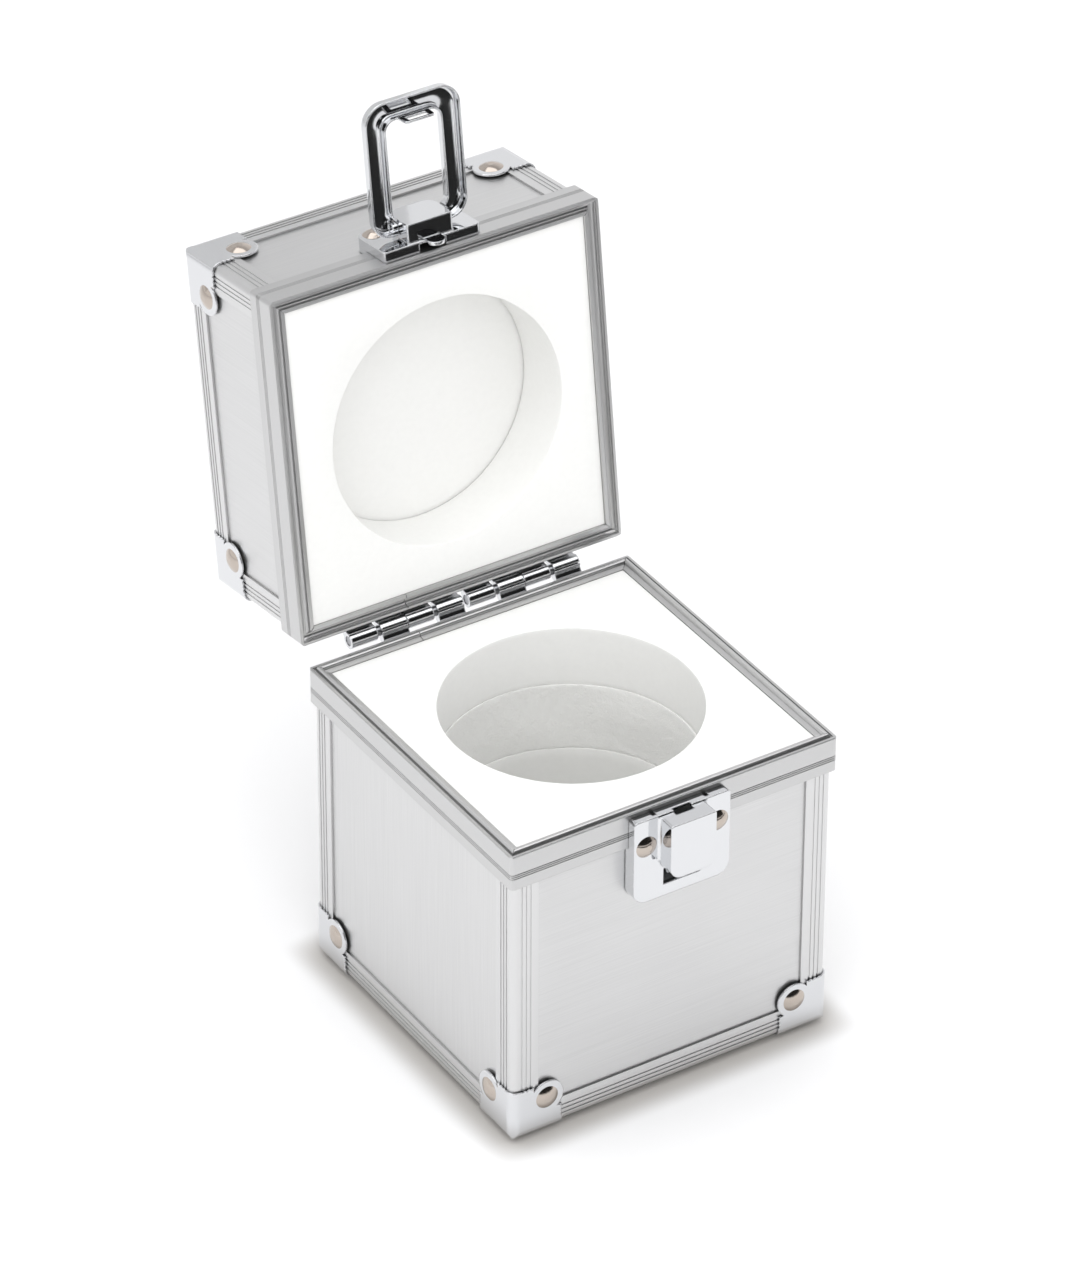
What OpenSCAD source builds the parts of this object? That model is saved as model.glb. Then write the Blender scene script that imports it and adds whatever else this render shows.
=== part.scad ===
// Small aluminium instrument case: framed box with a hinged lid, foam nest and a handle hasp.
// Origin: centre of the base on the plane it stands on. +X right, +Y to the hinges, +Z up.

/* [Case] */
// Width and depth over the rim bands
case_w = 150; // [144:1:160]
// Height of the base rim's plane above the standing plane
base_h = 140; // [136:1:150]
// Height of the lid from its rim plane to its outer top plane
lid_h = 68.4; // [66:0.2:80]
// Gap between the two rim planes when the lid is shut
lid_gap = 0.4; // [0.3:0.1:0.6]
// Angle that the lid has swung back from shut
lid_open = 97.5; // [90:0.5:98]

/* [Frame] */
// Flange width of the corner extrusion
frame_w = 12; // [11:0.5:13]
// Wall thickness of the corner extrusion's outer flanges
frame_t = 0.9; // [0.8:0.1:1]
// Outer corner radius of the extrusion
corner_r = 3; // [3:0.5:5]
// Thickness of the aluminium-faced boards
panel_t = 2.6; // [2.4:0.1:2.6]

/* [Rims] */
// Height of the rim band on the outside
band_h = 15.5; // [14:0.5:16]
// How far the band stands proud of the corner extrusions
band_proud = 1.4; // [1.4:0.1:1.6]
// Position along the back where the bent rim's two ends meet
seam_x = -26; // [-40:1:-10]

/* [Corner caps] */
// Sheet thickness of the corner caps
cap_t = 0.8; // [0.6:0.1:1]
// Reach of each cap leg from the corner
cap_reach = 22.5; // [21:0.5:24]
// Width of each cap leg
cap_leg = 9.5; // [8.5:0.5:10]
// Distance of the rivets from the case's outer planes
rivet_in = 15.5; // [15:0.5:16]
// Radius of the rounded lobe around each rivet
lobe_r = 7.6; // [7:0.2:8]

/* [Rivets] */
// Radius of the large domed heads
head_r = 5; // [4:0.5:5]
// Height of the domed heads on the caps
head_h = 1.5; // [1.2:0.1:1.8]
// Radius of the rivet shanks
shank_r = 1.5; // [1.2:0.1:1.5]

/* [Foam] */
// Bore of the top foam ring and of the lid's ring
bore_top = 105.5; // [80:0.5:110]
// Bore of the middle ring
bore_middle = 104.5; // [79:0.5:109]
// Bore of the bottom ring
bore_low = 103.5; // [78:0.5:108]
// Thickness of the top ring
ring_top_h = 27; // [20:1:30]
// Thickness of the middle ring
ring_middle_h = 31; // [20:1:35]
// Thickness of the floor pad
floor_pad_h = 12; // [8:1:16]
// Depth of the lid's pocket
lid_pocket_h = 28.5; // [20:0.5:32]

/* [Hinges] */
// Distance of the hinge axis behind the rear band
hinge_back = 5.2; // [5:0.1:5.4]
// Height of the hinge axis above the base rim's plane
hinge_up = 1.6; // [1.4:0.1:1.8]
// Length of each hinge
hinge_len = 52; // [50:0.5:54]
// Gap between the two hinges
hinge_gap = 2.8; // [2:0.2:6]
// Outer radius of the rolled knuckles
knuckle_r = 3.3; // [3.2:0.1:3.4]
// Radius of the hinge pins
pin_r = 2.05; // [2:0.05:2.05]

/* [Hasp] */
// Width of the catch plate and of the hasp plate
plate_w = 44; // [43:1:46]
// Height of both plates' faces above the rim bands
plate_out = 4.3; // [4.2:0.1:4.5]
// Width of the catch box and of the hasp housing
box_w = 20.6; // [20:0.2:21]
// Height of the catch box and of the housing above the rim bands
box_out = 12.4; // [12:0.2:12.6]
// Outer width of the handle loop
loop_w = 43; // [42:1:46]
// Reach of the loop from its pivot
loop_l = 53.7; // [53.5:0.1:53.9]
// Angle of the loop from lying over the catch
loop_up = 90; // [60:5:120]

/* [Hidden] */
$fn = 96;
eps = 0.01;
half = case_w / 2;
outer = half - band_proud;
fit = 0.1;
stand_gap = head_h + cap_t + fit;
base_depth = base_h - stand_gap;
lid_plane = base_h + lid_gap;
hinge_y = half + hinge_back;
hinge_z = base_h + hinge_up;
panel_edge = 4.1;
panel_half = outer - panel_edge;
web_low = 3;
flute_in = 3.7;
inner_in = 3.6;
inner_t = 0.7;
inner_w = 10;
rim_w = 6.5;
rim_t = 1.2;
rim_r = 1.9;
foam_half = half - rim_w - fit;
foam_top = 1.2;
foam_low = inner_in + inner_t + fit;
sheet = 1;
leaf_t = 1.2;
hinge_x = (hinge_gap + hinge_len) / 2;
knuckle_gap = 2;
knuckle_l = (hinge_len - 2 * knuckle_gap - 0.2) / 4;
leaf_h = 10.2;
leaf_drop = 5.3;
small_head_r = 3;
small_head_h = 1.2;
leaf_rivet_x = 17;
plate_y = -half - plate_out;
box_y = -half - box_out;
skirt_y = -half - 0.05;
deep_skirt_y = -outer + frame_t - 0.1;
catch_top = base_h - 2;
catch_h = 39;
catch_rivet_x = 16.4;
catch_rivet_z = base_h - 14.6;
box_top = base_h - 2.8;
box_low = base_h - 28;
port_low = base_h - 35.4;
port_w = 17;
slot_w = 8.2;
slot_l = 3.5;
tongue_w = 7.4;
tongue_t = 1.4;
tongue_low = box_top - 1.2;
hasp_low = lid_plane + 1.8;
hasp_h = 21.8;
hasp_rivet_x = 16;
hasp_rivet_z = hasp_low + 18.3;
housing_low = hasp_low + 1;
housing_h = 16.3;
plate_head_h = 1.6;
loop_t = 4.6;
loop_back = plate_y - 2.1;
loop_bar = 9.1;
loop_far = 8.5;
loop_near = 2.9;
pivot_y = loop_back - loop_t / 2;
pivot_z = base_h + 12;
pivot_r = 2.2;
tab_z = pivot_z - loop_l + loop_far - sheet;
tab_tip = -half - 0.5;
pawl_y = box_y + 3.1;
pawl_z = box_low + 2.9;
pawl_pin_r = 0.8;
pawl_w = 6;

// ---------- placing ----------

// Swings a part of the shut lid back to where it stands open
module opened() {
    translate([0, hinge_y, hinge_z]) rotate([-lid_open, 0, 0])
        translate([0, -hinge_y, -hinge_z]) children();
}

// A tray hangs below its rim plane at z = 0; the base is one tray, the lid is one upside down
module as_base() {
    translate([0, 0, base_h]) children();
}
module as_lid() {
    opened() translate([0, 0, lid_plane]) mirror([0, 0, 1]) children();
}

// Puts a part drawn for the front left corner, distances inward, on corner (sx, sy)
module at_corner(sx, sy) {
    mirror([sx > 0 ? 1 : 0, 0, 0]) mirror([0, sy > 0 ? 1 : 0, 0])
        translate([-outer, -outer, 0]) children();
}

// Side 0 is the front, 1 right, 2 rear, 3 left
module on_side(side) {
    rotate([0, 0, 90 * side]) children();
}

// ---------- frame ----------

// Square of side w from the origin with its corner at the origin rounded
module corner_round(r, w) {
    translate([r, r]) circle(r);
    translate([r, 0]) square([w - r, w]);
    translate([0, r]) square([w, w - r]);
}

// Section of the corner extrusion, both distances measured inward
module angle_section() {
    difference() {
        union() {
            difference() {
                corner_round(corner_r, frame_w);
                translate([frame_t, frame_t]) corner_round(corner_r - frame_t, frame_w);
            }
            intersection() {
                corner_round(corner_r, frame_w);
                square(panel_edge - fit);
            }
            translate([inner_in, inner_in]) square([inner_w - inner_in, inner_t]);
            translate([inner_in, inner_in]) square([inner_t, inner_w - inner_in]);
        }
        for (i = [0:2]) {
            translate([flute_in + i * 2, -eps]) square([0.9, 0.3]);
            translate([-eps, flute_in + i * 2]) square([0.3, 0.9]);
        }
    }
}

module post(depth, sx, sy) {
    length = depth - foam_low - web_low - fit;
    at_corner(sx, sy) translate([0, 0, -depth + foam_low]) linear_extrude(length) angle_section();
}

// Edge extrusion along the outer bottom of one side of a tray
module edge(depth, side) {
    length = 2 * (outer - frame_w - 0.2);
    on_side(side) translate([-length / 2, -outer, -depth])
        rotate([90, 0, 90]) linear_extrude(length) angle_section();
}

// Holes of a group of rivets through a side board, drawn along the board's outward normal
module side_holes(points) {
    for (p = points) translate([p[0], -half, p[1]]) rotate([90, 0, 0])
        cylinder(r = shank_r + 0.05, h = 30, center = true);
}

module side_panel(depth, side) {
    y = -outer + frame_t;
    low = -depth + panel_edge;
    on_side(side) difference() {
        translate([-panel_half, y, low]) cube([2 * panel_half, panel_t, -web_low - fit - low]);
        side_holes([for (s = [-1, 1]) [s * (outer - rivet_in), -depth + rivet_in]]);
        children();
    }
}

module bottom_panel(depth) {
    difference() {
        translate([-panel_half, -panel_half, -depth + frame_t])
            cube([2 * panel_half, 2 * panel_half, panel_t]);
        for (sx = [-1, 1], sy = [-1, 1]) translate([sx, sy, 0] * (outer - rivet_in))
            translate([0, 0, -depth]) cylinder(r = shank_r + 0.05, h = 20, center = true);
    }
}

// ---------- rims ----------

// Outline of the rim band with all four corners rounded, set in from its outside by inset
module rim_outline(inset) {
    r = rim_r - inset;
    c = half - inset - r;
    for (sx = [-1, 1], sy = [-1, 1]) translate([sx * c, sy * c]) circle(r);
    square([2 * (c + r), 2 * c], center = true);
    square([2 * c, 2 * (c + r)], center = true);
}

// Flange that covers the boards and the web inside them; u runs inward, v out of the opening
module rim_flange(web_top) {
    translate([0.3, -web_low]) square([1, web_low]);
    translate([0, -web_low]) square([rim_w, web_low - web_top]);
    translate([rim_w - inner_t, -9]) square([inner_t, 9 - web_top]);
}

// The base rim carries a rounded ridge
module base_rim_section() {
    rim_flange(1.2);
    translate([2.2, -1.3]) square([2.2, 1.2]);
    translate([3.3, -0.1]) circle(r = 1.1);
    polygon([[4.2, -1.3], [rim_w, -1.3], [rim_w, -1], [4.2, -0.6]]);
}

// The lid rim carries the channel that goes over the ridge
module lid_rim_section() {
    difference() {
        union() {
            rim_flange(1.9);
            translate([1, -2]) square([1.1, 0.9]);
            translate([4.7, -2]) square([rim_w - 4.7, 1.4]);
        }
        translate([3.3, -0.9]) circle(r = 1.6);
    }
}

// One profile bent round four corners, mitred in its flange, with its ends meeting at the back
module rim_ring() {
    difference() {
        union() {
            translate([0, 0, -band_h]) linear_extrude(band_h - 0.3) difference() {
                rim_outline(0);
                rim_outline(rim_t);
            }
            intersection() {
                for (side = [0:3]) on_side(side) intersection() {
                    translate([-half, -half, 0]) rotate([90, 0, 90]) linear_extrude(case_w) children();
                    translate([0, 0, -20]) linear_extrude(30)
                        polygon([[0, 0], [-half, -half], [half, -half]]);
                }
                translate([0, 0, -20]) linear_extrude(30) rim_outline(0);
            }
        }
        for (i = [0:2]) translate([0, 0, -10.6 + i * 0.9]) linear_extrude(0.4) difference() {
            square(case_w + 10, center = true);
            rim_outline(0.25);
        }
        for (a = [45:90:315]) rotate(a) translate([(half - 1.6) * sqrt(2) - 8, -0.12, -1])
            cube([8, 0.24, 4]);
        translate([seam_x, half - 8, -20]) cube([0.3, 10, 30]);
    }
}

// ---------- corner caps and rivets ----------

// Block with its three edges rounded by r, offset d outside the case's planes
module cap_block(d, r, w) {
    translate([-d, -d, -d]) intersection() {
        linear_extrude(w) corner_round(r, w);
        rotate([90, 0, 90]) linear_extrude(w) corner_round(r, w);
        mirror([1, -1, 0]) rotate([90, 0, 90]) linear_extrude(w) corner_round(r, w);
    }
}

// Outline of one cap face: two legs, a lobe with the rivet, small nips over the flutes
module cap_face() {
    difference() {
        union() {
            translate([-2, -2]) square([cap_leg + 2, cap_reach + 2]);
            translate([-2, -2]) square([cap_reach + 2, cap_leg + 2]);
            translate([-2, -2]) square([rivet_in + 2, rivet_in + 2]);
            translate([rivet_in, rivet_in]) circle(lobe_r);
        }
        for (i = [0:2]) {
            translate([4.4 + i * 2, cap_reach + 0.3]) circle(0.8);
            translate([cap_reach + 0.3, 4.4 + i * 2]) circle(0.8);
        }
        translate([rivet_in, rivet_in]) circle(shank_r + 0.05);
    }
}

module corner_cap(depth, sx, sy) {
    deep = corner_r + cap_t + fit + 2;
    at_corner(sx, sy) translate([0, 0, -depth]) difference() {
        intersection() {
            cap_block(cap_t + fit, corner_r + cap_t + fit, cap_reach + 2);
            union() {
                translate([0, 0, -2]) linear_extrude(deep) cap_face();
                translate([-2, 0, 0]) rotate([90, 0, 90]) linear_extrude(deep) cap_face();
                mirror([1, -1, 0]) translate([-2, 0, 0]) rotate([90, 0, 90])
                    linear_extrude(deep) cap_face();
            }
        }
        cap_block(fit, corner_r + fit, cap_reach + 4);
    }
}

// Domed rivet, head above z = 0 with a small flat crown, shank down to -grip, formed tail below it
module rivet(r, h, grip) {
    flat = 1.5;
    c = (flat * flat + h * h - r * r) / (2 * h);
    intersection() {
        translate([0, 0, c]) sphere(sqrt(r * r + c * c));
        cylinder(r = r + 1, h = h);
    }
    translate([0, 0, -grip]) cylinder(r = shank_r, h = grip + 0.2);
    translate([0, 0, -grip - 0.6]) cylinder(r = shank_r + 1.1, h = 0.6);
}

module cap_rivets(depth) {
    grip = cap_t + fit + frame_t + panel_t + 0.05;
    lift = outer + cap_t + fit;
    at = outer - rivet_in;
    for (side = [0:3]) on_side(side) for (s = [-1, 1])
        translate([s * at, -lift, -depth + rivet_in]) rotate([90, 0, 0])
            rivet(head_r, head_h, grip);
    for (sx = [-1, 1], sy = [-1, 1])
        translate([sx * at, sy * at, -depth - cap_t - fit]) rotate([180, 0, 0])
            rivet(head_r, head_h, grip);
}

// ---------- hinges ----------

// Outline of a leaf's rolled knuckle and the crank that leads to it, seen along the pin
module knuckle_section(stop) {
    difference() {
        union() {
            translate([hinge_y, hinge_z]) circle(knuckle_r);
            polygon([[half + 0.05, hinge_z - 5.4], [half + 0.05 + leaf_t, hinge_z - 5.4],
                [hinge_y - 0.6, hinge_z - 3.2], [hinge_y - 3.1, hinge_z - 0.4], [half + 0.05, hinge_z - 3.9]]);
            if (stop) translate([hinge_y, hinge_z])
                polygon([[0.5, 2.2], [2.8, 1.2], [6, 1.4], [6, 2.9], [2, 2.9]]);
        }
        translate([hinge_y, hinge_z]) circle(pin_r + 0.05);
        translate([hinge_y, hinge_z]) rotate(158) translate([1, -0.3]) square([4, 0.6]);
    }
}

module along_x(x0, length) {
    translate([x0, 0, 0]) rotate([90, 0, 90]) linear_extrude(length) children();
}

// Leaf on the base side of the axis; slots lists which of the four knuckles it has
module leaf(xc, slots, stop) {
    x0 = xc - hinge_len / 2;
    step = knuckle_l + knuckle_gap;
    starts = [0, step, step + knuckle_l + 0.2, 2 * step + knuckle_l + 0.2];
    difference() {
        union() {
            translate([x0, half + 0.05, hinge_z - leaf_drop - leaf_h]) cube([hinge_len, leaf_t, leaf_h]);
            for (i = slots) along_x(x0 + starts[i], knuckle_l) knuckle_section(stop);
        }
        for (s = [-1, 1]) translate([xc + s * leaf_rivet_x, half, hinge_z - leaf_drop - leaf_h / 2])
            rotate([90, 0, 0]) cylinder(r = shank_r + 0.05, h = 10, center = true);
    }
}

// The lid's leaves mirror the base's leaves about the hinge axis while the lid is shut
module lid_side() {
    opened() translate([0, 0, 2 * hinge_z]) mirror([0, 0, 1]) children();
}

module hinge_pin(xc) {
    translate([xc - hinge_len / 2 + 0.3, hinge_y, hinge_z]) rotate([0, 90, 0])
        cylinder(r = pin_r, h = hinge_len - 0.6);
}

module leaf_rivets() {
    grip = leaf_t + 0.05 + rim_t + 0.2 + panel_t + frame_t;
    for (xc = [-hinge_x, hinge_x], s = [-1, 1])
        translate([xc + s * leaf_rivet_x, half + 0.05 + leaf_t, hinge_z - leaf_drop - leaf_h / 2])
            rotate([-90, 0, 0]) rivet(small_head_r, small_head_h, grip);
}

// Centres of the leaf rivets on the rear side, as seen on that side turned to the front
function leaf_points(z) = [for (xc = [-hinge_x, hinge_x], s = [-1, 1]) [xc + s * leaf_rivet_x, z]];
base_leaf_z = hinge_up - leaf_drop - leaf_h / 2;
lid_leaf_z = lid_gap - hinge_up - leaf_drop - leaf_h / 2;

// ---------- pressed plates of the catch and the hasp ----------

// Rectangle from (-w/2, 0) to (w/2, h), lower corners of radius low, upper of radius high
module plate_outline(w, h, low, high) {
    intersection() {
        translate([-w / 2, 0]) corner_round(low, w + h);
        translate([w / 2, 0]) mirror([1, 0]) corner_round(low, w + h);
        translate([-w / 2, h]) mirror([0, 1]) corner_round(high, w + h);
        translate([w / 2, h]) rotate(180) corner_round(high, w + h);
    }
}

// Stands an outline drawn in (x, z) up in front of the case, from y0 back to y1
module stand(y0, y1) {
    translate([0, y1, 0]) rotate([90, 0, 0]) linear_extrude(y1 - y0) children();
}

module catch_outline(inset) {
    translate([0, catch_top - catch_h + inset])
        plate_outline(plate_w - 2 * inset, catch_h - 2 * inset, 6 - inset, 1.6 - inset);
}

module hasp_outline(inset) {
    translate([0, hasp_low + inset])
        plate_outline(plate_w - 2 * inset, hasp_h - 2 * inset, 1.6 - inset, 3 - inset);
}

module plate_rivet_holes(x, z) {
    for (s = [-1, 1]) translate([s * x, -half, z]) rotate([90, 0, 0])
        cylinder(r = shank_r + 0.05, h = 30, center = true);
}

// ---------- sub-parts: base ----------

module base_floor_panel() color("gainsboro") as_base() bottom_panel(base_depth);
module base_front_panel() color("lightgray") as_base() side_panel(base_depth, 0)
    side_holes([for (s = [-1, 1]) [s * catch_rivet_x, catch_rivet_z - base_h]]);
module base_right_panel() color("lightgray") as_base() side_panel(base_depth, 1);
module base_rear_panel() color("lightgray") as_base() side_panel(base_depth, 2)
    side_holes(leaf_points(base_leaf_z));
module base_left_panel() color("lightgray") as_base() side_panel(base_depth, 3);

module base_post_front_left() color("silver") as_base() post(base_depth, -1, -1);
module base_post_front_right() color("silver") as_base() post(base_depth, 1, -1);
module base_post_rear_left() color("silver") as_base() post(base_depth, -1, 1);
module base_post_rear_right() color("silver") as_base() post(base_depth, 1, 1);

module base_edge_front() color("silver") as_base() edge(base_depth, 0);
module base_edge_right() color("silver") as_base() edge(base_depth, 1);
module base_edge_rear() color("silver") as_base() edge(base_depth, 2);
module base_edge_left() color("silver") as_base() edge(base_depth, 3);

module base_rim() color("silver") as_base() difference() {
    rim_ring() base_rim_section();
    side_holes([for (s = [-1, 1]) [s * catch_rivet_x, catch_rivet_z - base_h]]);
    on_side(2) side_holes(leaf_points(base_leaf_z));
}

module base_cap_front_left() color("white") as_base() corner_cap(base_depth, -1, -1);
module base_cap_front_right() color("white") as_base() corner_cap(base_depth, 1, -1);
module base_cap_rear_left() color("white") as_base() corner_cap(base_depth, -1, 1);
module base_cap_rear_right() color("white") as_base() corner_cap(base_depth, 1, 1);
module base_cap_rivets() color("tan") as_base() cap_rivets(base_depth);

// Skirted plate with a box pressed up in it, a slot for the tongue and a port for the loop's tab
module catch_plate() color("white") difference() {
    union() {
        stand(plate_y, skirt_y) catch_outline(0);
        intersection() {
            stand(plate_y, deep_skirt_y) catch_outline(0);
            translate([-30, -100, base_h - band_h - 30.2]) cube([60, 100, 30]);
        }
        stand(box_y, plate_y + 0.5) translate([0, box_low]) plate_outline(box_w, box_top - box_low, 5, 1);
        for (s = [-1, 1]) box_fillet(s);
    }
    stand(plate_y + sheet, -half + 5) catch_outline(sheet);
    stand(box_y + sheet, plate_y + 2) translate([0, box_low + sheet])
        plate_outline(box_w - 2 * sheet, box_top - box_low - 2 * sheet, 4, 0.5);
    translate([-port_w / 2, plate_y - eps, port_low]) cube([port_w, 3, box_low - port_low]);
    translate([-pawl_w / 2 - 1, plate_y - 0.9, port_low])
        cube([pawl_w + 2, 3, box_low - port_low + sheet + eps]);
    translate([-slot_w / 2, plate_y - 1.9, box_top - 3]) cube([slot_w, slot_l, 6]);
    for (s = [-1, 1]) translate([s * (box_w / 2 + 1.7) - 0.85, plate_y + sheet + 0.6, catch_top - 2])
        cube([1.7, plate_out, 4]);
    translate([-box_w / 2 - 0.5, pawl_y, pawl_z]) rotate([0, 90, 0])
        cylinder(r = pawl_pin_r, h = box_w + 1);
    plate_rivet_holes(catch_rivet_x, catch_rivet_z);
}

// Coved run where the side of the box turns out into the plate
module box_fillet(s) {
    r = 1.3;
    intersection() {
        translate([s * box_w / 2, plate_y, box_low + 5]) mirror([s > 0 ? 0 : 1, 0, 0])
            linear_extrude(box_top - box_low - 5) difference() {
                translate([-0.5, -r]) square([r + 0.5, r + 0.5]);
                translate([r, -r]) circle(r);
            }
        stand(box_y, -half) catch_outline(0);
    }
}

// Spring leaf rolled round its pin: tail to the box, arm to the back, nose down into the tab's window
module catch_pawl() color("silver") translate([-pawl_w / 2, pawl_y, pawl_z])
    rotate([90, 0, 90]) linear_extrude(pawl_w) difference() {
        union() {
            circle(r = 1.5);
            polygon([[0, -0.9], [5.9, -1.2], [5.9, -0.4], [0, 1.2]]);
            polygon([[5.3, -0.5], [5.9, -0.5], [5.9, -8.4], [5.6, -8.8], [5.3, -8]]);
            polygon([[-1.4, 0], [-0.6, 0.8], [-0.7, 4.2], [-1.2, 4.2]]);
        }
        circle(r = pawl_pin_r + 0.05);
    }
module catch_pawl_pin() color("peru") translate([-box_w / 2 + 0.1, pawl_y, pawl_z])
    rotate([0, 90, 0]) cylinder(r = pawl_pin_r, h = box_w - 0.2);

module catch_rivets() color("tan") for (s = [-1, 1])
    translate([s * catch_rivet_x, plate_y, catch_rivet_z]) rotate([90, 0, 0])
        rivet(head_r - 0.3, plate_head_h, plate_out + band_proud + frame_t + panel_t + 0.05);

module hinge_left_base_leaf() color("white") leaf(-hinge_x, [1, 3], true);
module hinge_right_base_leaf() color("white") leaf(hinge_x, [1, 3], true);
module hinge_left_pin() color("peru") hinge_pin(-hinge_x);
module hinge_right_pin() color("peru") hinge_pin(hinge_x);
module base_hinge_rivets() color("tan") leaf_rivets();

module foam_block(z0, h, bore) {
    translate([0, 0, z0]) difference() {
        translate([-foam_half, -foam_half, 0]) cube([2 * foam_half, 2 * foam_half, h]);
        if (bore > 0) translate([0, 0, -1]) cylinder(d = bore, h = h + 2);
    }
}
top_ring_z = -foam_top - ring_top_h;
middle_ring_z = top_ring_z - ring_middle_h;
floor_z = -base_depth + foam_low;
low_ring_z = floor_z + floor_pad_h;
module base_foam_top_ring() color("ivory") as_base()
    foam_block(top_ring_z, ring_top_h, bore_top);
module base_foam_middle_ring() color("snow") as_base()
    foam_block(middle_ring_z, ring_middle_h, bore_middle);
module base_foam_low_ring() color("ivory") as_base()
    foam_block(low_ring_z, middle_ring_z - low_ring_z, bore_low);
module base_foam_floor() color("snow") as_base() foam_block(floor_z, floor_pad_h, 0);

// ---------- sub-parts: lid ----------

module lid_top_panel() color("gainsboro") as_lid() bottom_panel(lid_h);
module lid_front_panel() color("lightgray") as_lid() side_panel(lid_h, 0)
    side_holes([for (s = [-1, 1]) [s * hasp_rivet_x, lid_plane - hasp_rivet_z]]);
module lid_right_panel() color("lightgray") as_lid() side_panel(lid_h, 1);
module lid_rear_panel() color("lightgray") as_lid() side_panel(lid_h, 2)
    side_holes(leaf_points(lid_leaf_z));
module lid_left_panel() color("lightgray") as_lid() side_panel(lid_h, 3);

module lid_post_front_left() color("silver") as_lid() post(lid_h, -1, -1);
module lid_post_front_right() color("silver") as_lid() post(lid_h, 1, -1);
module lid_post_rear_left() color("silver") as_lid() post(lid_h, -1, 1);
module lid_post_rear_right() color("silver") as_lid() post(lid_h, 1, 1);

module lid_edge_front() color("silver") as_lid() edge(lid_h, 0);
module lid_edge_right() color("silver") as_lid() edge(lid_h, 1);
module lid_edge_rear() color("silver") as_lid() edge(lid_h, 2);
module lid_edge_left() color("silver") as_lid() edge(lid_h, 3);

module lid_rim() color("silver") as_lid() difference() {
    rim_ring() lid_rim_section();
    on_side(2) side_holes(leaf_points(lid_leaf_z));
}

module lid_cap_front_left() color("white") as_lid() corner_cap(lid_h, -1, -1);
module lid_cap_front_right() color("white") as_lid() corner_cap(lid_h, 1, -1);
module lid_cap_rear_left() color("white") as_lid() corner_cap(lid_h, -1, 1);
module lid_cap_rear_right() color("white") as_lid() corner_cap(lid_h, 1, 1);
module lid_cap_rivets() color("tan") as_lid() cap_rivets(lid_h);

module hinge_left_lid_leaf() color("white") lid_side() leaf(-hinge_x, [0, 2], false);
module hinge_right_lid_leaf() color("white") lid_side() leaf(hinge_x, [0, 2], false);
module lid_hinge_rivets() color("tan") lid_side() leaf_rivets();

// Skirted plate with the housing that holds the loop, and the half-round tongue at its free edge
module hasp_plate() color("white") opened() difference() {
    union() {
        difference() {
            union() {
                stand(plate_y, skirt_y) hasp_outline(0);
                intersection() {
                    stand(plate_y, deep_skirt_y) hasp_outline(0);
                    translate([-30, -100, lid_plane + band_h + 0.2]) cube([60, 100, 30]);
                }
            }
            stand(plate_y + sheet, -half + 5) hasp_outline(sheet);
            translate([-6, plate_y + sheet, hasp_low - 1]) cube([12, plate_out, 3]);
        }
        difference() {
            stand(box_y, plate_y + 0.5) translate([0, housing_low]) plate_outline(box_w, housing_h, 1, 5);
            stand(box_y + sheet, plate_y + 2) translate([0, housing_low + sheet])
                plate_outline(box_w - 2 * sheet, housing_h - 2 * sheet, 0.5, 4);
        }
        stand(plate_y - tongue_t / 2, plate_y + tongue_t / 2) {
            translate([0, tongue_low + tongue_w / 2]) circle(d = tongue_w);
            translate([-tongue_w / 2, tongue_low + tongue_w / 2])
                square([tongue_w, hasp_low + sheet - tongue_low - tongue_w / 2]);
        }
    }
    translate([-30, pivot_y, pivot_z]) rotate([0, 90, 0]) cylinder(r = pivot_r + 0.08, h = 60);
    translate([-box_w / 2 + sheet, plate_y - eps, housing_low + 5])
        cube([box_w - 2 * sheet, sheet + 2 * eps, housing_h - 10]);
    plate_rivet_holes(hasp_rivet_x, hasp_rivet_z);
}

module hasp_rivets() color("tan") opened() for (s = [-1, 1])
    translate([s * hasp_rivet_x, plate_y, hasp_rivet_z]) rotate([90, 0, 0])
        rivet(head_r - 0.6, plate_head_h, plate_out + band_proud + frame_t + panel_t + 0.05);

// Loop outline about its pivot at the origin, hanging along -z, drawn in by d from all its edges
module loop_outline(d) {
    difference() {
        translate([0, -loop_l + d])
            plate_outline(loop_w - 2 * d, loop_l + loop_near - 2 * d, 9 - d, 8 - d);
        translate([0, -loop_l + loop_far - d])
            plate_outline(loop_w - 2 * loop_bar + 2 * d, loop_l - loop_far - loop_near + 2 * d,
                4.5 + d, 4.5 + d);
    }
}

// Hollow-backed handle loop with its pivot rod and the windowed tab that the pawl holds
module hasp_loop() color("white") opened() translate([0, pivot_y, pivot_z]) rotate([-loop_up, 0, 0]) {
    difference() {
        union() {
            stand(-loop_t / 2, loop_t / 2) loop_outline(0.5);
            stand(-loop_t / 2 + 0.5, loop_t / 2) loop_outline(0);
        }
        stand(-loop_t / 2 + sheet, loop_t / 2 + 1) loop_outline(sheet);
        translate([-box_w / 2 - 0.6, -20, -loop_near - 1]) cube([box_w + 1.2, 40, 2 * loop_near + 2]);
    }
    translate([-box_w / 2 - 2.5, 0, 0]) rotate([0, 90, 0]) cylinder(r = pivot_r, h = box_w + 5);
    translate([0, 0, tab_z - pivot_z]) linear_extrude(sheet) difference() {
        polygon([[-7, loop_t / 2 - 0.6], [7, loop_t / 2 - 0.6],
            [6.4, tab_tip - pivot_y], [-6.4, tab_tip - pivot_y]]);
        translate([-4.5, 3.9]) square([9, 3.2]);
    }
}

module lid_foam_ring() color("ivory") as_lid() foam_block(-foam_top - lid_pocket_h, lid_pocket_h, bore_top);
module lid_foam_backing() color("snow") as_lid()
    foam_block(-lid_h + foam_low, lid_h - foam_low - foam_top - lid_pocket_h, 0);

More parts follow.
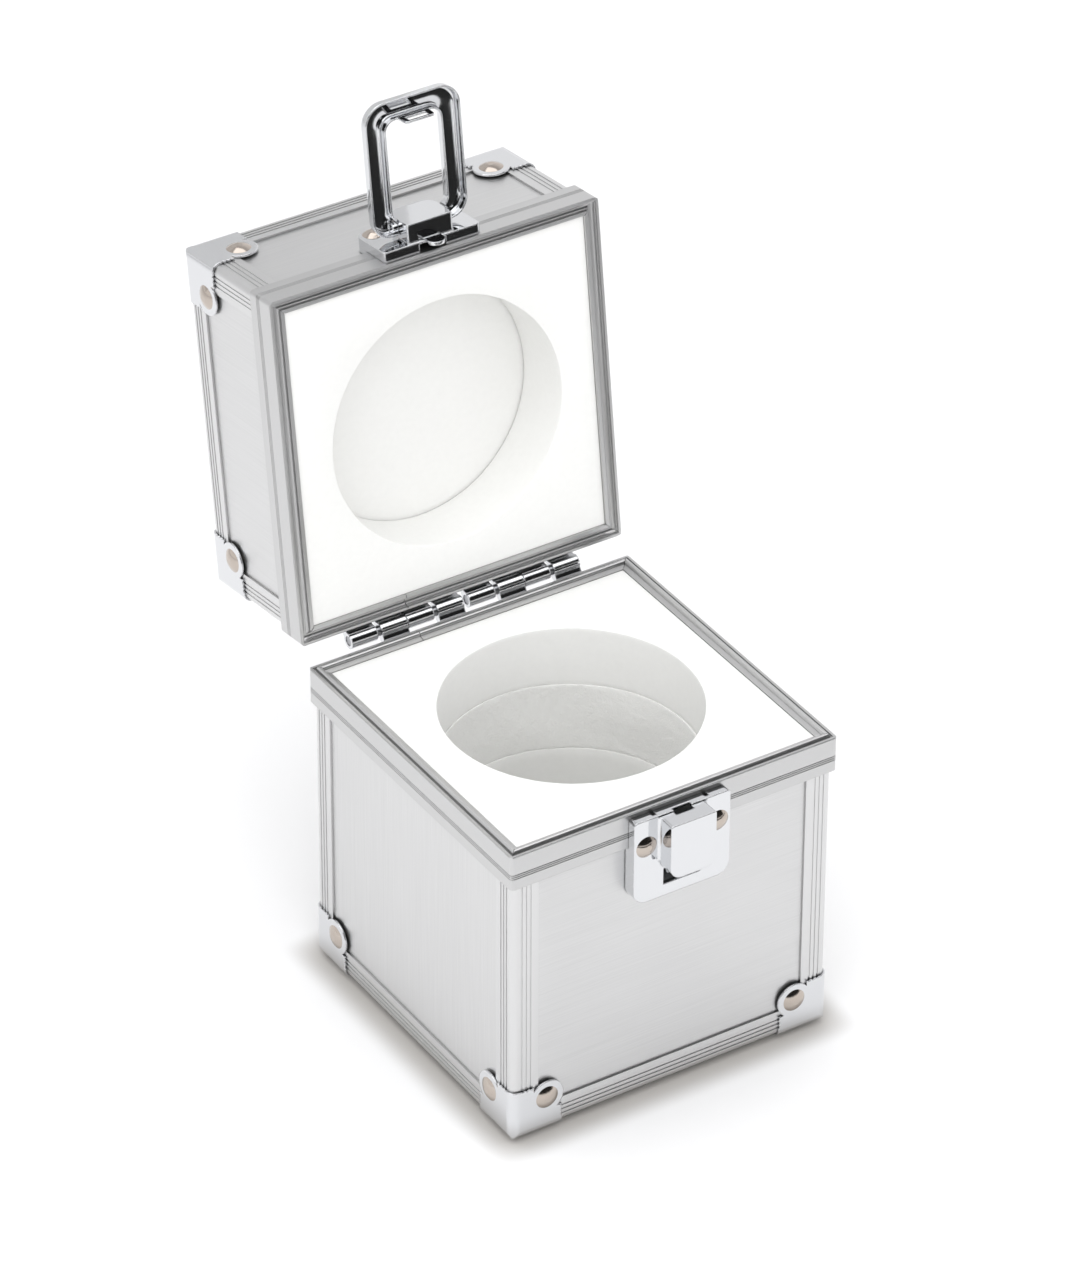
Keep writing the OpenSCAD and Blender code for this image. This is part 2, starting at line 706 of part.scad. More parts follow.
base_floor_panel();
base_front_panel();
base_rear_panel();
base_left_panel();
base_right_panel();
base_post_front_left();
base_post_front_right();
base_post_rear_left();
base_post_rear_right();
base_edge_front();
base_edge_rear();
base_edge_left();
base_edge_right();
base_rim();
base_cap_front_left();
base_cap_front_right();
base_cap_rear_left();
base_cap_rear_right();
base_cap_rivets();
catch_plate();
catch_pawl();
catch_pawl_pin();
catch_rivets();
hinge_left_base_leaf();
hinge_right_base_leaf();
hinge_left_pin();
hinge_right_pin();
base_hinge_rivets();
base_foam_top_ring();
base_foam_middle_ring();
base_foam_low_ring();
base_foam_floor();
lid_top_panel();
lid_front_panel();
lid_rear_panel();
lid_left_panel();
lid_right_panel();
lid_post_front_left();
lid_post_front_right();
lid_post_rear_left();
lid_post_rear_right();
lid_edge_front();
lid_edge_rear();
lid_edge_left();
lid_edge_right();
lid_rim();
lid_cap_front_left();
lid_cap_front_right();
lid_cap_rear_left();
lid_cap_rear_right();
lid_cap_rivets();
hinge_left_lid_leaf();
hinge_right_lid_leaf();
lid_hinge_rivets();
hasp_plate();
hasp_rivets();
hasp_loop();
lid_foam_ring();
lid_foam_backing();
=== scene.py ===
# A small aluminium instrument case, open, with white foam bored to nest one round weight.
# Metres throughout, in the frame of the CAD model: +X right, +Y to the hinges, +Z up.
import math

import bmesh
import bpy
from mathutils import Matrix, Vector, noise


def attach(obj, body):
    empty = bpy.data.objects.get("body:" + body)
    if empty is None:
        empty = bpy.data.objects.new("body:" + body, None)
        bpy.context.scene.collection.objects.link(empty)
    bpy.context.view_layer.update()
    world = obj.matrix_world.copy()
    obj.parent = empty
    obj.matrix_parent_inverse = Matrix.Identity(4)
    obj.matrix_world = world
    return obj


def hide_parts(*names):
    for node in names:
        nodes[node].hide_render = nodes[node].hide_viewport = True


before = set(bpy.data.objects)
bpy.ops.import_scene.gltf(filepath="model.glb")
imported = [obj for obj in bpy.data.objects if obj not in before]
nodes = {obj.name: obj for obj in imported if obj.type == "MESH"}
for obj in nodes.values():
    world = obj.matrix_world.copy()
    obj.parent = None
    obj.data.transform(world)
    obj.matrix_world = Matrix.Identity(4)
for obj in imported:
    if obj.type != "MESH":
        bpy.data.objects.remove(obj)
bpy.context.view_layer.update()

# ---------------------------------------------------------------- boards
# The walls, floor and top are thin boards faced with brushed aluminium sheet, slid into the
# extrusions. The brush lines run level on front and back and upright on the left and right.
MM = 0.001
LID_TILT = math.radians(97.5)  # how far the lid stands open
LINE_MM = 0.22  # brush lines are about 0.1 mm apart, drawn coarser so that they show
STROKE_MM = 40.0  # length of one line
CLOUD_MM = 35.7  # patches where the belt pressed harder
OFF_TRUE = 0.02  # the lines run about a degree off level
# painted seam shade: how open a spot is when its painted shade is darkest, and when it is clear of
# it
SEAM_DARK, SEAM_CLEAR = 0.2, 0.75  # how open a spot is when it is darkest, and when it is clear


def linear(code):
    """An sRGB hex colour as linear RGBA."""
    parts = [int(code[i:i + 2], 16) / 255 for i in (1, 3, 5)]
    return [c / 12.92 if c <= 0.04045 else ((c + 0.055) / 1.055) ** 2.4 for c in parts] + [1.0]


def add(tree, kind, links=(), **settings):
    """Adds a shader node. Settings are properties or inputs; links pair an input with a socket."""
    node = tree.nodes.new(kind)
    for name, value in settings.items():
        if hasattr(node, name):
            setattr(node, name, value)
        else:
            node.inputs[name.replace("_", " ")].default_value = value
    for key, socket in links:
        tree.links.new(socket, node.inputs[key])
    return node


def new_material(name, colour, metallic, roughness):
    """A material with its tree, its shader and the object's own coordinates."""
    material = bpy.data.materials.new(name)
    material.use_nodes = True
    tree = material.node_tree
    shader = tree.nodes["Principled BSDF"]
    shader.inputs["Base Color"].default_value = linear(colour)
    shader.inputs["Metallic"].default_value = metallic
    shader.inputs["Roughness"].default_value = roughness
    place = add(tree, "ShaderNodeTexCoord").outputs["Object"]
    return material, tree, shader, place


def uneven_sheen(tree, shader, place, patch_mm, low, high, detail=2.0):
    """Lets the roughness wander between two values over patches of the given size."""
    patches = add(tree, "ShaderNodeTexNoise", [("Vector", place)],
                  Scale=1 / (patch_mm * MM), Detail=detail)
    sheen = add(tree, "ShaderNodeMapRange", [("Value", patches.outputs["Fac"])],
                To_Min=low, To_Max=high)
    tree.links.new(sheen.outputs[0], shader.inputs["Roughness"])


def paint_seam_shade(tree, shader, reach_mm, darkest):
    """Paints shade into a metal's colour where it meets its neighbours: an ambient occlusion node
    darkens the base colour in a narrow seam. This is painted shade, not grime.
    """
    near = add(tree, "ShaderNodeAmbientOcclusion", samples=6, Distance=reach_mm * MM)
    painted_seam_shade = add(tree, "ShaderNodeMapRange", [("Value", near.outputs["AO"])],
                From_Min=SEAM_DARK, From_Max=SEAM_CLEAR, To_Min=darkest, To_Max=1.0)
    colour = shader.inputs["Base Color"]
    seam_shaded_colour = add(tree, "ShaderNodeVectorMath", [(1, painted_seam_shade.outputs[0])], operation="MULTIPLY")
    if colour.links:
        tree.links.new(colour.links[0].from_socket, seam_shaded_colour.inputs[0])
    else:
        seam_shaded_colour.inputs[0].default_value = colour.default_value[:3]
    tree.links.new(seam_shaded_colour.outputs[0], colour)


def brushed_aluminium(name, along, tilt):
    """Sheet aluminium scratched one way by an abrasive belt: streaks drawn out along one axis."""
    material, tree, shader, place = new_material(name, "#dfdfe0", 1.0, 0.36)
    turned = add(tree, "ShaderNodeMapping", [("Vector", place)], Rotation=(tilt, 0, 0))
    stretch = [1 / (LINE_MM * MM)] * 3
    stretch["xyz".index(along)] = 1 / (STROKE_MM * MM)
    streaks = add(tree, "ShaderNodeMapping", [("Vector", turned.outputs[0])],
                  Scale=stretch, Rotation=(0, OFF_TRUE, OFF_TRUE))
    lines = add(tree, "ShaderNodeTexNoise", [("Vector", streaks.outputs[0])],
                Scale=1.0, Detail=3.0)
    tone = add(tree, "ShaderNodeValToRGB", [("Fac", lines.outputs["Fac"])])
    for stop, (at, code) in zip(tone.color_ramp.elements, ((0.3, "#cfcfcf"), (0.7, "#d7d7d7"))):
        stop.position, stop.color = at, linear(code)
    tree.links.new(tone.outputs[0], shader.inputs["Base Color"])
    uneven_sheen(tree, shader, turned.outputs[0], CLOUD_MM, 0.34, 0.42, detail=3.0)
    bump = add(tree, "ShaderNodeBump", [("Height", lines.outputs["Fac"])],
               Strength=0.06, Distance=0.05 * MM)
    tree.links.new(bump.outputs[0], shader.inputs["Normal"])
    # painted shade darkens the sheet where it meets its neighbours
    paint_seam_shade(tree, shader, 1.4, 0.2)
    return material


def dress(name, material):
    """Gives a CAD node its material."""
    piece = nodes[name]
    piece.data.materials.clear()
    piece.data.materials.append(material)


for tray, tilt in (("base", 0.0), ("lid", LID_TILT)):
    level = brushed_aluminium(tray + " aluminium brushed level", "x", tilt)
    upright = brushed_aluminium(tray + " aluminium brushed upright", "z", tilt)
    for side in ("front", "rear"):
        dress(f"{tray}_{side}_panel", level)
    for side in ("left", "right"):
        dress(f"{tray}_{side}_panel", upright)
    dress("base_floor_panel" if tray == "base" else "lid_top_panel", level)

# ---------------------------------------------------------------- corner extrusions
# Posts and edges are bright anodised aluminium extrusions with fine flutes beside the corner,
# sawn to length and closed at their ends by the pressed corner caps.
TRAYS = ("base", "lid")
CORNERS = ("front_left", "front_right", "rear_left", "rear_right")
SIDES = ("front", "rear", "left", "right")

# anodising leaves a hard, even grey sheen that is softer than a polish
anodised, tree, shader, place = new_material("aluminium extruded and anodised",
                                             "#d4d4d4", 1.0, 0.30)
uneven_sheen(tree, shader, place, 1.11, 0.26, 0.34)
# painted shade darkens the extrusion in its seams
paint_seam_shade(tree, shader, 0.6, 0.85)
for tray in TRAYS:
    for corner in CORNERS:
        dress(f"{tray}_post_{corner}", anodised)
    for side in SIDES:
        dress(f"{tray}_edge_{side}", anodised)

# ---------------------------------------------------------------- rims
# Each opening is bound by one satin anodised profile, notched and bent round four corners: the
# base's has a rounded ridge that goes into the channel of the lid's.

# etched before it is anodised, so it is duller and its edges are slightly eased
satin, tree, shader, place = new_material("aluminium profile satin anodised",
                                          "#c8c8c8", 1.0, 0.34)
uneven_sheen(tree, shader, place, 0.714, 0.30, 0.38)
soft_edge = add(tree, "ShaderNodeBevel", samples=6, Radius=0.3 * MM)
tree.links.new(soft_edge.outputs[0], shader.inputs["Normal"])
# painted shade darkens the profile in its grooves and seams
paint_seam_shade(tree, shader, 0.6, 0.8)
for tray in TRAYS:
    dress(f"{tray}_rim", satin)

# ---------------------------------------------------------------- plated pressings
# Corner caps, hinge leaves, catch and hasp plates are steel pressings, polished and plated with
# bright chrome. They are pressed over rounded tools, so no edge of theirs is sharp.
PRESSED_ROUND_MM = 0.9
PEEL_MM = 3.85  # the slow waves that a plated surface shows in its reflections

# it mirrors everything round it, a little bluer than steel, with a trace of orange peel
chrome, tree, shader, place = new_material("steel pressed and chrome plated",
                                           "#d9dadc", 1.0, 0.05)
peel = add(tree, "ShaderNodeTexNoise", [("Vector", place)], Scale=1 / (PEEL_MM * MM), Detail=1.0)
soft_edge = add(tree, "ShaderNodeBevel", samples=6, Radius=PRESSED_ROUND_MM * MM)
bump = add(tree, "ShaderNodeBump",
           [("Height", peel.outputs["Fac"]), ("Normal", soft_edge.outputs[0])],
           Strength=0.03, Distance=0.1 * MM)
tree.links.new(bump.outputs[0], shader.inputs["Normal"])
# painted shade, nearly black, in the seams round the pressings
paint_seam_shade(tree, shader, 1.0, 0.05)
for tray in TRAYS:
    for corner in CORNERS:
        dress(f"{tray}_cap_{corner}", chrome)
    for side in ("left", "right"):
        dress(f"hinge_{side}_{tray}_leaf", chrome)
dress("catch_plate", chrome)
dress("hasp_plate", chrome)

# ---------------------------------------------------------------- handle loop
# The carrying loop is pressed from thin steel sheet as a hollow frame, open at its back, and
# chrome plated. A rod through the housing holds it, and a windowed tab is bent from its far wall.

# in millimetres from the rod's axis, with z along the loop and the open side toward +y
LOOP_W, LOOP_FAR, LOOP_NEAR = 43.0, 53.7, 2.9
BAR_SIDE, BAR_FAR = 9.1, 8.5  # widths of the side bars and of the far bar
HALF_DEEP, WALL = 2.3, 0.9
CORNER_OUT, CORNER_NEAR, CORNER_IN = 9.0, 8.0, 4.5
GAP_HALF = 10.9  # the frame stops short of the housing on both sides
ROD_R, ROD_HALF, ROD_CHAMFER = 2.2, 12.8, 0.3
ROD_STEPS = 40
EDGE_EASE = 0.2  # the cut edge of the sheet is eased
TAB_ROOT, TAB_TIP = 1.7, 8.2
FAR_IN = BAR_FAR - LOOP_FAR


def arc(cx, cz, r, start, stop, count):
    """Points on an arc, angles in degrees from +x toward +z."""
    turns = [math.radians(start + (stop - start) * i / count) for i in range(count + 1)]
    return [(cx + r * math.cos(t), cz + r * math.sin(t)) for t in turns]


def spread(points, count):
    """The polyline resampled to count + 1 evenly spaced points."""
    steps = [0.0]
    for a, b in zip(points, points[1:]):
        steps.append(steps[-1] + math.dist(a, b))
    out, at = [], 0
    for i in range(count + 1):
        want = steps[-1] * i / count
        while at < len(steps) - 2 and steps[at + 1] < want:
            at += 1
        span = max(steps[at + 1] - steps[at], 1e-9)
        k = min(max((want - steps[at]) / span, 0), 1)
        a, b = points[at], points[at + 1]
        out.append((a[0] + (b[0] - a[0]) * k, a[1] + (b[1] - a[1]) * k))
    return out


def sew(mesh, a, b):
    """Joins two closed rings of as many points with a band of faces."""
    for i in range(len(a)):
        j = (i + 1) % len(a)
        mesh.faces.new((a[i], a[j], b[j], b[i]))


def make_piece(name, mesh, matrix, materials, sharp):
    """Turns a mesh built in millimetres into a smooth piece whose folds past sharp stay crisp."""
    bmesh.ops.recalc_face_normals(mesh, faces=mesh.faces)
    for face in mesh.faces:
        face.smooth = True
    data = bpy.data.meshes.new(name)
    mesh.to_mesh(data)
    mesh.free()
    data.set_sharp_from_angle(angle=math.radians(sharp))
    data.transform(matrix @ Matrix.Scale(MM, 4))
    for material in materials:
        data.materials.append(material)
    piece = bpy.data.objects.new(name, data)
    bpy.context.scene.collection.objects.link(piece)
    return piece


def bar_section(width):
    """Section across a bar: distances in from its outer edge, and depths."""
    bend = 2.1
    walls = []
    for inset in (0, WALL):
        straight = [(inset, HALF_DEEP - EDGE_EASE), (inset, HALF_DEEP * 0.4)]
        walls.append(straight + arc(bend, bend - HALF_DEEP, bend - inset, 180, 270, 7))
    outside, inside = walls
    lip = [(WALL - EDGE_EASE, HALF_DEEP), (EDGE_EASE, HALF_DEEP)]
    crown, hollow = (width / 2, -HALF_DEEP), (width / 2, WALL - HALF_DEEP)

    def across(points):
        return [(width - s, y) for s, y in points]

    return (outside + [crown] + across(outside[::-1]) + across(lip[::-1])
            + across(inside) + [hollow] + inside[::-1] + lip)


def add_bars(mesh):
    """The frame: one section carried from the housing round both far corners and back."""
    half, inner_half = LOOP_W / 2, LOOP_W / 2 - BAR_SIDE
    cut = math.degrees(math.acos((GAP_HALF - inner_half + CORNER_IN) / CORNER_IN))
    # for each stretch: its outer edge, its inner edge, and how many sections it takes
    stretches = [
        ([(GAP_HALF, LOOP_NEAR)]
         + arc(half - CORNER_NEAR, LOOP_NEAR - CORNER_NEAR, CORNER_NEAR, 90, 0, 12),
         arc(inner_half - CORNER_IN, -LOOP_NEAR - CORNER_IN, CORNER_IN, cut, 0, 12), 16),
        ([(half, LOOP_NEAR - CORNER_NEAR), (half, CORNER_OUT - LOOP_FAR)],
         [(inner_half, -LOOP_NEAR - CORNER_IN), (inner_half, FAR_IN + CORNER_IN)], 10),
        (arc(half - CORNER_OUT, CORNER_OUT - LOOP_FAR, CORNER_OUT, 0, -90, 16),
         arc(inner_half - CORNER_IN, FAR_IN + CORNER_IN, CORNER_IN, 0, -90, 16), 16),
        ([(half - CORNER_OUT, -LOOP_FAR), (0, -LOOP_FAR)],
         [(inner_half - CORNER_IN, FAR_IN), (0, FAR_IN)], 5)]
    outer, inner = [], []
    for outer_edge, inner_edge, count in stretches:
        outer += spread(outer_edge, count)[:-1]
        inner += spread(inner_edge, count)[:-1]
    outer += [(0, -LOOP_FAR)] + [(-x, z) for x, z in reversed(outer)]
    inner += [(0, FAR_IN)] + [(-x, z) for x, z in reversed(inner)]
    rings = []
    for (ox, oz), (ix, iz) in zip(outer, inner):
        width = math.dist((ox, oz), (ix, iz))
        ax, az = (ix - ox) / width, (iz - oz) / width
        rings.append([mesh.verts.new((ox + ax * s, y, oz + az * s))
                      for s, y in bar_section(width)])
    for a, b in zip(rings, rings[1:]):
        sew(mesh, a, b)
    mesh.faces.new(rings[0])
    mesh.faces.new(rings[-1][::-1])


def add_rod(mesh):
    """The rod through the housing, with a small chamfer at each end."""
    shoulder, tip_r = ROD_HALF - ROD_CHAMFER, ROD_R - ROD_CHAMFER
    turns = [2 * math.pi * i / ROD_STEPS for i in range(ROD_STEPS)]
    rings = []
    for x, r in ((-ROD_HALF, tip_r), (-shoulder, ROD_R), (shoulder, ROD_R), (ROD_HALF, tip_r)):
        rings.append([mesh.verts.new((x, r * math.cos(t), r * math.sin(t))) for t in turns])
    for a, b in zip(rings, rings[1:]):
        sew(mesh, a, b)
    mesh.faces.new(rings[0][::-1])
    mesh.faces.new(rings[-1])


def add_tab(mesh):
    """The tab on the far wall, rounded at its free corners, with a window for the pawl."""
    edge = [(-7.0, TAB_ROOT), (-6.5, TAB_TIP - 1)]
    edge += [(-5.5 - math.cos(t), TAB_TIP - 1 + math.sin(t)) for t in (0.5, 1.0)]
    edge += [(-5.5, TAB_TIP)]
    window = [(-4.5, 3.9), (-4.5, 6.5), (-4.4, 6.8), (-4.2, 7.0), (-3.9, 7.1)]
    # the two inner levels lie close to the faces, to keep the shading of the walls flat
    levels = []
    for z in (FAR_IN - WALL, FAR_IN - WALL + 0.2, FAR_IN - 0.2, FAR_IN):
        level = []
        for side in (edge, window):
            other_side = [(-x, y) for x, y in side[::-1]]
            level.append([mesh.verts.new((x, y, z)) for x, y in side + other_side])
        levels.append(level)
    for (edge_a, window_a), (edge_b, window_b) in zip(levels, levels[1:]):
        sew(mesh, edge_a, edge_b)
        sew(mesh, window_b, window_a)
    for edge_ring, window_ring in (levels[0], levels[-1]):
        sew(mesh, edge_ring, window_ring)


HINGE = Vector((0, 80.2, 141.6)) * MM  # axis of the case hinges
PIVOT = Vector((0, -83.7, 152.0)) * MM  # axis of the rod while the lid is shut
IN_LID = (Matrix.Translation(HINGE) @ Matrix.Rotation(-LID_TILT, 4, "X")
          @ Matrix.Translation(-HINGE))

loop_mesh = bmesh.new()
add_bars(loop_mesh)
add_rod(loop_mesh)
add_tab(loop_mesh)
stands_up = Matrix.Translation(PIVOT) @ Matrix.Rotation(math.radians(-90), 4, "X")
loop = make_piece("handle_loop", loop_mesh, IN_LID @ stands_up, [chrome], 40)
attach(loop, "hasp_loop")
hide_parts("hasp_loop")

# ---------------------------------------------------------------- rivets
# Large domed rivets of nickel plated steel, set cold through the plates, the leaves and the
# caps. Each cap has three, one in each of its faces.

# nickel is a little duller than the chrome beside it, and warmer
nickel, tree, shader, place = new_material("steel nickel plated", "#bdb3aa", 1.0, 0.14)
uneven_sheen(tree, shader, place, 2.0, 0.10, 0.20, detail=4.0)
# painted shade round the rivet heads
paint_seam_shade(tree, shader, 0.8, 0.1)
for group in ("base_cap", "lid_cap", "catch", "hasp", "base_hinge", "lid_hinge"):
    dress(group + "_rivets", nickel)

# ---------------------------------------------------------------- hidden steel
# The hinge pins run inside the knuckles, and the sprung pawl turns on its own pin inside the
# catch box. All are bare steel, cut from ground rod and bar.

# grinding leaves a grey and fairly matt surface
steel, tree, shader, place = new_material("steel ground bare", "#a6a7aa", 1.0, 0.3)
uneven_sheen(tree, shader, place, 1.43, 0.24, 0.36)
for name in ("hinge_left_pin", "hinge_right_pin", "catch_pawl", "catch_pawl_pin"):
    dress(name, steel)

# ---------------------------------------------------------------- foam
# White closed-cell polyethylene foam, knife cut from sheets and stacked: rings with a round bore
# on a solid pad in the base, one ring and a backing in the lid. Nothing but the fit holds them.
CELL_MM = 0.7
FLUFF_MM = 2.5  # torn cell walls stand up in tufts
FOAM_HALF = 68.4
ARRIS = 0.5  # the knife drags the outer edge round
LIP, LIP_MIDDLE = 0.2, 0.06  # the bore's edge is crisper
TOP_BANDS = 8
AROUND = 288
SLIT_W = 1.1


def polyethylene_foam(name, relief):
    """Matt white plastic full of small cells; relief is how far a cut has opened them."""
    material, tree, shader, place = new_material(name, "#ededea", 0.0, 0.85)
    cells = add(tree, "ShaderNodeTexVoronoi", [("Vector", place)], Scale=1 / (CELL_MM * MM))
    fluff = add(tree, "ShaderNodeTexNoise", [("Vector", place)],
                Scale=1 / (FLUFF_MM * MM), Detail=4.0)
    tone = add(tree, "ShaderNodeValToRGB", [("Fac", fluff.outputs["Fac"])])
    for stop, (at, code) in zip(tone.color_ramp.elements, ((0.3, "#ececea"), (0.7, "#eeeeec"))):
        stop.position, stop.color = at, linear(code)
    tree.links.new(tone.outputs[0], shader.inputs["Base Color"])
    small = add(tree, "ShaderNodeBump", [("Height", cells.outputs["Distance"])],
                Strength=relief, Distance=0.2 * MM)
    large = add(tree, "ShaderNodeBump",
                [("Height", fluff.outputs["Fac"]), ("Normal", small.outputs[0])],
                Strength=relief, Distance=0.4 * MM)
    tree.links.new(large.outputs[0], shader.inputs["Normal"])
    return material


skin = polyethylene_foam("polyethylene foam knife cut", 0.05)
rough = polyethylene_foam("polyethylene foam hole saw cut", 0.6)


def foam_pad(name, node, body, low, high, matrix,
             bore=0.0, wobble=0.0, steps=14, cut=skin, slit=None):
    """A square of foam between two heights, with a hole whose wall wobbles if bore is set."""
    mesh = bmesh.new()
    aims = [Vector((math.cos(t), math.sin(t)))
            for t in (2 * math.pi * i / AROUND for i in range(AROUND))]

    def on_square(aim, half):
        return aim * (half / max(abs(aim.x), abs(aim.y)))

    rings = []
    # up the outside and round the arris
    for inset, z in ((0.0, low + ARRIS), (0.0, high - ARRIS), (0.15, high - 0.15), (ARRIS, high)):
        rings.append([(*on_square(aim, FOAM_HALF - inset), z) for aim in aims])

    # across the top, which is not quite flat
    shares = [i / (TOP_BANDS + 1) for i in range(1, TOP_BANDS + 1)] + ([] if bore else [0.985])
    for share in shares:
        ring = []
        for i, aim in enumerate(aims):
            spot = (on_square(aim, FOAM_HALF) - aim * ARRIS).lerp(aim * bore / 2, share)
            if i == slit:
                spot += aim * SLIT_W
            swell = noise.noise((spot.x * 0.04, spot.y * 0.04, high * 0.09))
            ring.append((*spot, high + 0.25 * swell * math.sin(share * math.pi)))
        rings.append(ring)

    # down the bore
    if bore:
        wall = [(0.0, high - LIP - (high - low - 2 * LIP) * i / steps) for i in range(steps + 1)]
        wall = [(LIP, high), (LIP_MIDDLE, high - LIP_MIDDLE)] + wall
        wall += [(LIP_MIDDLE, low + LIP_MIDDLE), (LIP, low)]
        for inset, z in wall:
            ring = []
            for aim in aims:
                drift = noise.noise((aim.x * 2.2, aim.y * 2.2, z * 0.045))
                fine = noise.noise((aim.x * 30, aim.y * 30, z * 0.5))
                spot = aim * (bore / 2 + inset + (0.8 * drift + 0.35 * fine) * wobble)
                ring.append((*spot, z))
            rings.append(ring)

    rings = [[mesh.verts.new(point) for point in ring] for ring in rings]
    for a, b in zip(rings, rings[1:]):
        sew(mesh, a, b)
    if bore:
        sew(mesh, rings[-1], rings[0])
    else:
        mesh.faces.new(rings[-1])
        mesh.faces.new(rings[0][::-1])

    # the wall of the bore takes the second material
    for face in mesh.faces:
        centre = face.calc_center_median()
        in_wall = low + 0.3 < centre.z < high - 0.3
        if bore and in_wall and centre.xy.length < bore / 2 + 0.3:
            face.material_index = 1
    piece = make_piece(name, mesh, matrix, (skin, cut) if bore else (skin,), 50)
    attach(piece, body)
    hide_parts(node)


IN_BASE = Matrix.Identity(4)
foam_pad("foam_top_ring", "base_foam_top_ring", "base", 111.85, 138.8, IN_BASE,
         bore=105.5, wobble=0.25)
foam_pad("foam_middle_ring", "base_foam_middle_ring", "base", 80.85, 111.75, IN_BASE,
         bore=105.0, wobble=0.9, steps=20, cut=rough, slit=78)
foam_pad("foam_low_ring", "base_foam_low_ring", "base", 18.85, 80.75, IN_BASE,
         bore=104.4, wobble=0.3)
foam_pad("foam_floor_pad", "base_foam_floor", "base", 6.85, 18.75, IN_BASE)
# in the shut lid the ring is the lower of the two
foam_pad("foam_lid_backing", "lid_foam_backing", "lid", 170.2, 204.35, IN_LID)
foam_pad("foam_lid_ring", "lid_foam_ring", "lid", 141.65, 170.05, IN_LID,
         bore=105.5, wobble=0.25)

# ---------------------------------------------------------------- studio
# White paper under a pale room that darkens overhead, one large soft light above, a weak one at
# the front, and three cards that only mirrors see, which give the plated parts their dark edges.
# where the painted contact shadow on the paper starts and fades out, and how round its corners are
PAINTED_SHADOW_IN, PAINTED_SHADOW_OUT = 73 * MM, 90 * MM  # from the case's middle
PAINTED_SHADOW_ROUND = 20 * MM


def flat_sheet(name, near, far, material):
    """A flat piece of the studio between two opposite corners, level or upright."""
    (x0, y0, z0), (x1, y1, z1) = near, far
    data = bpy.data.meshes.new(name)
    data.from_pydata([(x0, y0, z0), (x1, y0, z0), (x1, y1, z1), (x0, y1, z1)], [], [(0, 1, 2, 3)])
    data.materials.append(material)
    piece = bpy.data.objects.new(name, data)
    bpy.context.scene.collection.objects.link(piece)
    return piece


def card(name, near, far, material):
    """A card that neither lights nor shades anything: it shows only in reflections."""
    piece = flat_sheet(name, near, far, material)
    piece.visible_camera = False
    piece.visible_diffuse = False
    piece.visible_shadow = False


def soft_light(name, at, side, watts):
    """A square light that faces the case."""
    light = bpy.data.lights.new(name, "AREA")
    light.shape, light.size, light.size_y = "RECTANGLE", side, side
    light.energy = watts
    lamp = bpy.data.objects.new(name, light)
    lamp.location = at
    lamp.rotation_euler = (Vector((0, 0, 0.1)) - Vector(at)).to_track_quat("-Z", "Y").to_euler()
    bpy.context.scene.collection.objects.link(lamp)
    return lamp


# matt white, with a soft contact shadow painted into its colour for a few millimetres round the
# foot of the case
paper, tree, shader, place = new_material("white paper", "#fafafa", 0.0, 0.9)
apart = add(tree, "ShaderNodeSeparateXYZ", [("Vector", place)])
reach = [add(tree, "ShaderNodeMath", [(0, apart.outputs[axis])], operation="ABSOLUTE")
         for axis in "XY"]
square = add(tree, "ShaderNodeMath", [(0, reach[0].outputs[0]), (1, reach[1].outputs[0])],
             operation="SMOOTH_MAX")
square.inputs[2].default_value = PAINTED_SHADOW_ROUND
fade = add(tree, "ShaderNodeMapRange", [("Value", square.outputs[0])],
           From_Min=PAINTED_SHADOW_IN, From_Max=PAINTED_SHADOW_OUT, interpolation_type="SMOOTHERSTEP")
painted_shadow = add(tree, "ShaderNodeValToRGB", [("Fac", fade.outputs[0])])
painted_shadow.color_ramp.elements[0].color = linear("#c2bfbb")
painted_shadow.color_ramp.elements[1].color = linear("#fafafa")
tree.links.new(painted_shadow.outputs[0], shader.inputs["Base Color"])
flat_sheet("floor", (-5, -5, 0), (5, 7, 0), paper)

felt = new_material("black felt", "#050505", 0.0, 1.0)[0]
pale_card = new_material("pale grey card", "#cdcdcd", 0.0, 1.0)[0]
card("black_strip", (-0.6, -0.93, 0.002), (1.4, -0.50, 0.002), felt)
card("black_wall", (-3.0, -2.2, 0.05), (3.0, -2.2, 3.4), felt)
card("grey_card_behind", (-0.7, 0.5, 0.30), (0.2, 0.5, 0.62), pale_card)

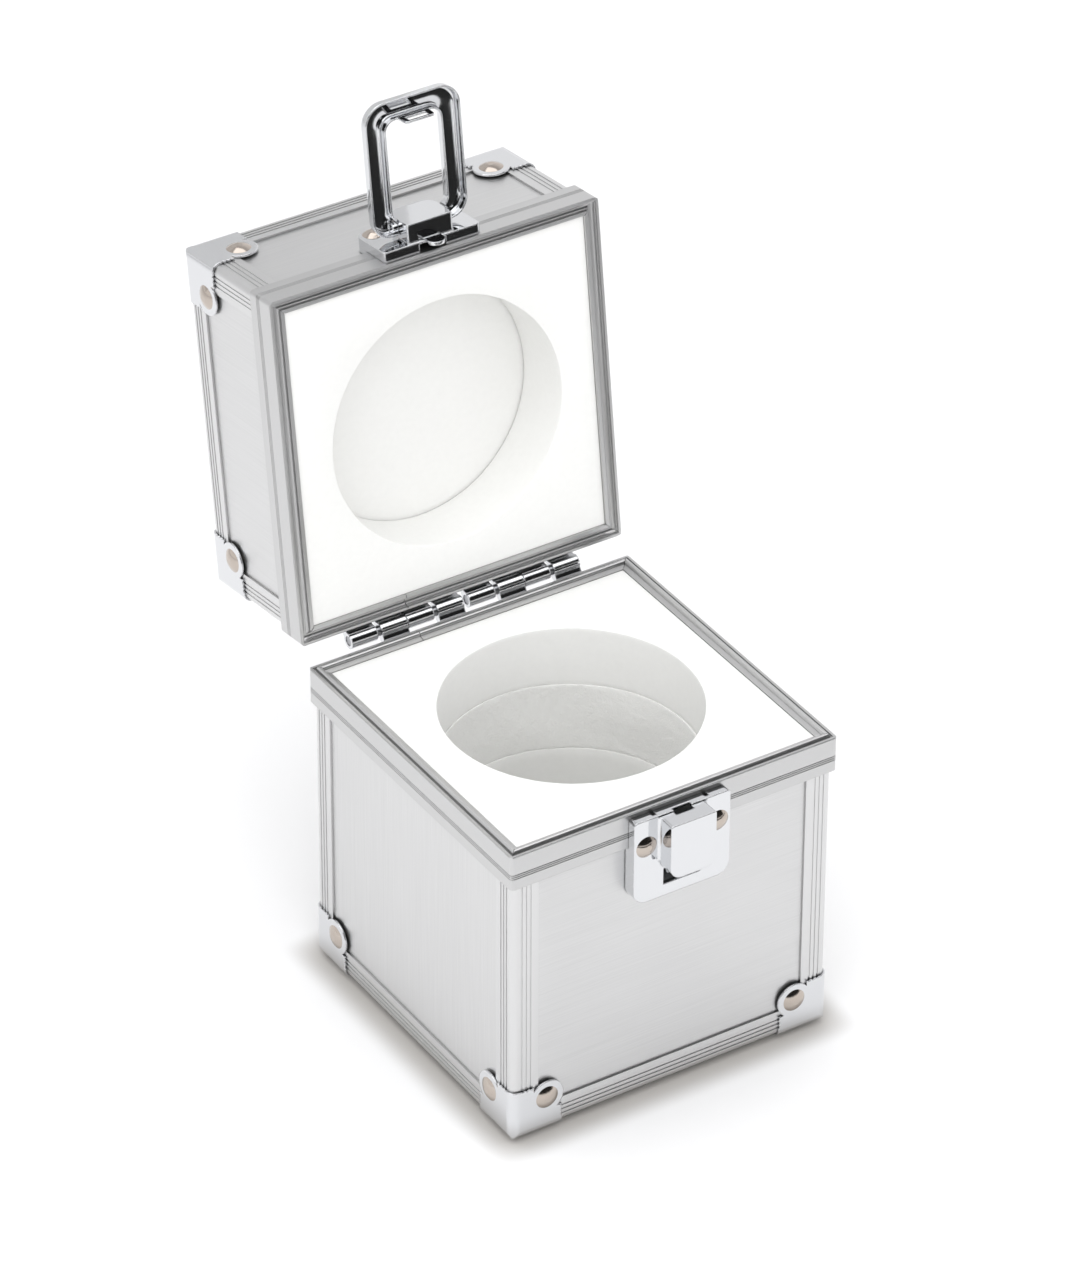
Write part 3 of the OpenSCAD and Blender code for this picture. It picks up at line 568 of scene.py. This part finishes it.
soft_light("overhead softbox", (-0.15, -0.1, 1.6), 2.0, 20)
fill = soft_light("front fill", (-0.9, -1.3, 1.1), 1.4, 5)
fill.visible_glossy = False

# the room is brightest at the horizon
world = bpy.data.worlds.new("studio")
bpy.context.scene.world = world
world.use_nodes = True
tree = world.node_tree
sky = add(tree, "ShaderNodeTexCoord").outputs["Generated"]
height = add(tree, "ShaderNodeSeparateXYZ", [("Vector", sky)])
room = add(tree, "ShaderNodeValToRGB", [("Fac", height.outputs["Z"])])
room.color_ramp.elements.new(0.55)
walls = ((0.95, 0.95, 0.95, 1), (0.80, 0.80, 0.81, 1), (0.30, 0.30, 0.31, 1))
for stop, shade in zip(room.color_ramp.elements, walls):
    stop.color = shade
background = tree.nodes["Background"]
background.inputs["Strength"].default_value = 1.15
tree.links.new(room.outputs[0], background.inputs["Color"])
bpy.context.scene.view_settings.view_transform = "Standard"

# ---------------------------------------------------------------- camera
# A long lens well back from the case, looking down on it from the left of its front, and
# turned a little on its axis.
AZIMUTH, ELEVATION, ROLL = math.radians(-32.51), math.radians(34.60), math.radians(0.21)
LENS_MM = 195.12
CASE_WIDTH = 150 * MM
AIM = Vector((0, 0, 91.7 * MM))
# how far the camera stands back, and how far it is moved aside and up, in widths of the case
BACK, ASIDE, RAISED = 18.265, -0.0785, 0.4265

camera_data = bpy.data.cameras.new("camera")
camera_data.sensor_width = 36.0
camera_data.lens = LENS_MM
camera_data.clip_end = 50
camera = bpy.data.objects.new("camera", camera_data)
bpy.context.scene.collection.objects.link(camera)
bpy.context.scene.camera = camera
back = Vector((math.sin(AZIMUTH) * math.cos(ELEVATION),
               -math.cos(AZIMUTH) * math.cos(ELEVATION), math.sin(ELEVATION)))
right = Vector((math.cos(AZIMUTH), math.sin(AZIMUTH), 0))
up = back.cross(right)
stand = AIM + (back * BACK + right * ASIDE + up * RAISED) * CASE_WIDTH
turned_right = right * math.cos(ROLL) + up * math.sin(ROLL)
turned_up = up * math.cos(ROLL) - right * math.sin(ROLL)
stance = Matrix((turned_right, turned_up, back)).transposed().to_4x4()
stance.translation = stand
camera.matrix_world = stance
